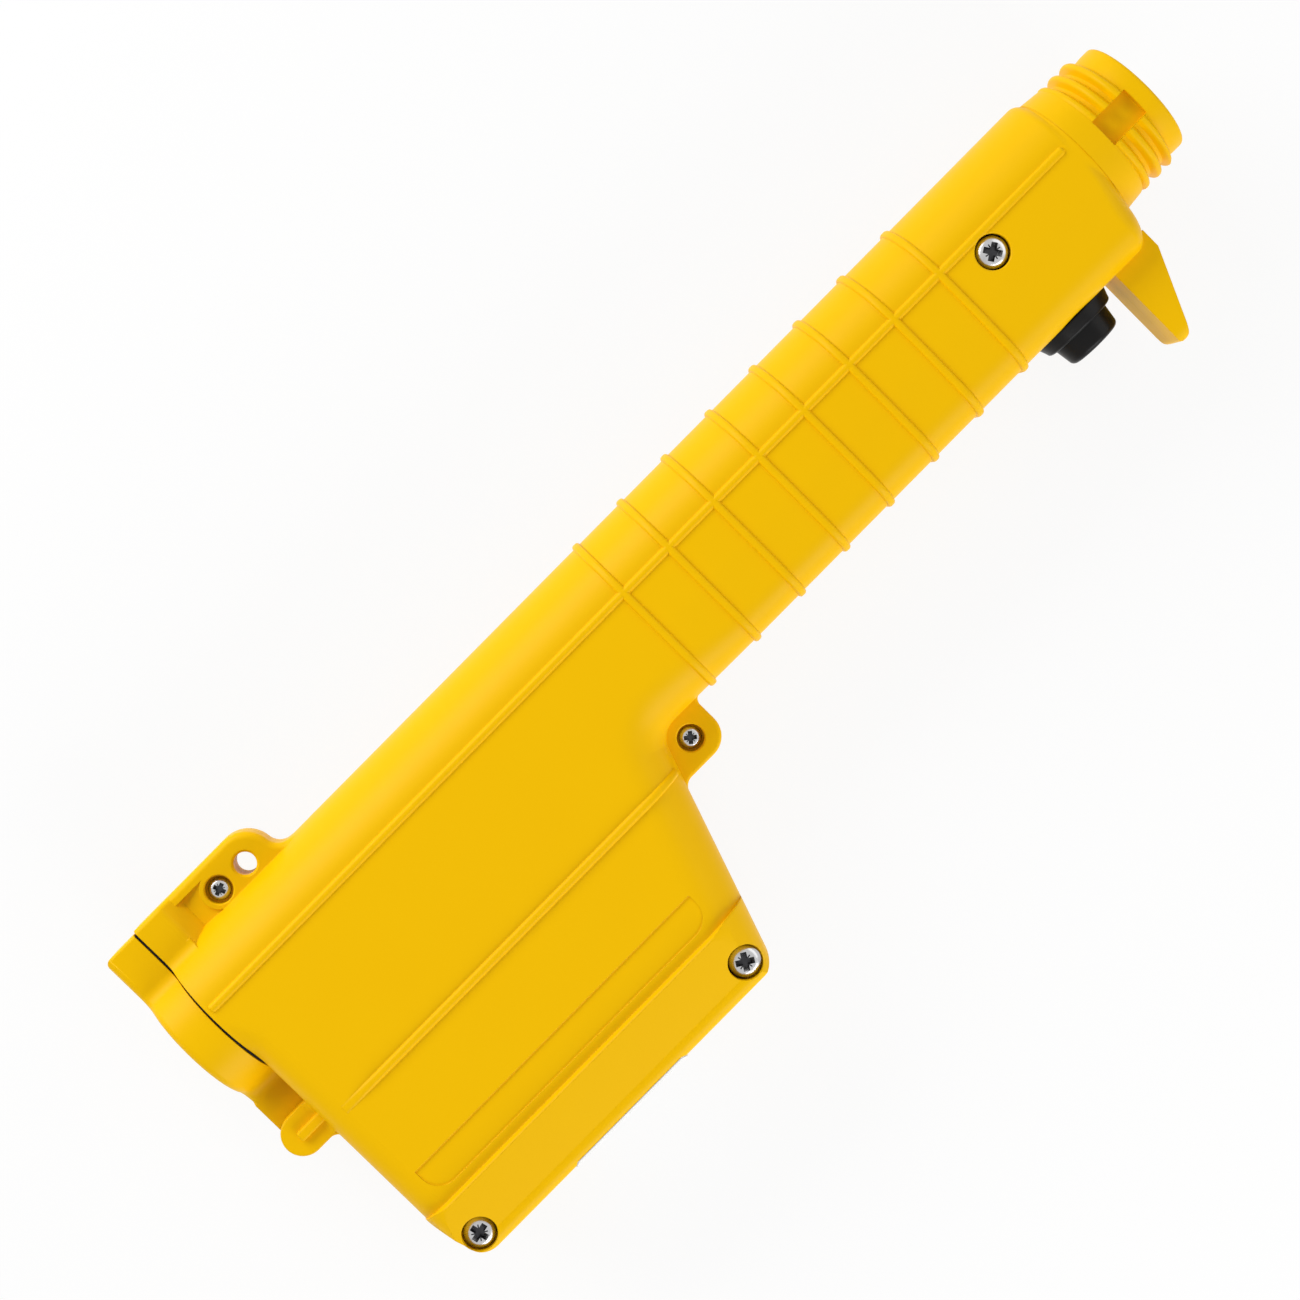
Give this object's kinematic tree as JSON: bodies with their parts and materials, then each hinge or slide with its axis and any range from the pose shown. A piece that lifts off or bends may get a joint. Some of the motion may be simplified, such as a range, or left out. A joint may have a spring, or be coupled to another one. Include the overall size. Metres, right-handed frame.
{
  "type": "livestock prod handle",
  "caption": "Battery handle of a livestock prod: ribbed split case, guarded push button, threaded nose for a shaft, hinged battery door and lanyard ear.",
  "frame": {"origin": "centre of the front face of the nose, on its axis", "axes": "+X out of the nose along its axis, +Y to the top of the handle, +Z out of the side with the screws"},
  "size_m": [0.3183, 0.1129, 0.038],
  "materials": {
    "case_yellow": "satin moulded",
    "button_black": "satin moulded",
    "rubber_black": "matt",
    "zinc_steel": "bright zinc plate",
    "spring_steel": "drawn wire",
    "contact_brass": "satin",
    "cell_jacket": "plain printed sleeve",
    "board_green": "satin lacquer",
    "core_grey": "matt",
    "winding_copper": "enamelled wire",
    "component_dark": "moulded",
    "insulator_grey": "moulded",
    "lead_red": "extruded sleeve",
    "lead_black": "extruded sleeve",
    "label_white": "blank film"
  },
  "bodies": {
    "handle": {"right_shell": "case_yellow", "left_shell": "case_yellow", "threaded_nose": "case_yellow", "contact_carrier": "insulator_grey", "nose_contacts": "contact_brass", "door_hinge_pin": "zinc_steel", "cell_1": "cell_jacket", "cell_2": "cell_jacket", "cell_3": "cell_jacket", "cell_4": "cell_jacket", "front_contact": "zinc_steel", "return_strip": "contact_brass", "switch_bezel": "button_black", "switch_nut": "zinc_steel", "switch_body": "insulator_grey", "switch_terminals": "contact_brass", "button_spring": "spring_steel", "circuit_board": "board_green", "transformer_core": "core_grey", "transformer_winding": "winding_copper", "capacitor": "component_dark", "power_transistor": "component_dark", "output_leads": "lead_red", "switch_leads": "lead_black", "battery_lead": "lead_red", "large_screws": "zinc_steel", "small_screws": "zinc_steel", "blank_label": "label_white"},
    "door": {"battery_door": "case_yellow", "door_gasket": "rubber_black", "door_contact_plate": "zinc_steel", "battery_spring": "spring_steel"},
    "button": {"switch_button": "button_black"}
  },
  "joints": [
    {"name": "door_hinge", "type": "hinge", "parent": "handle", "child": "door", "pos_m": [-0.313, -0.0322, 0], "axis": [0, 0, 1], "range_deg": [0, 110]},
    {"name": "button_press", "type": "slide", "parent": "handle", "child": "button", "axis": [0, 1, 0], "range_m": [0, 0.0025], "stiffness_N_per_m": 900, "springref_m": -0.0015, "deforming": ["button_spring"]}
  ]
}
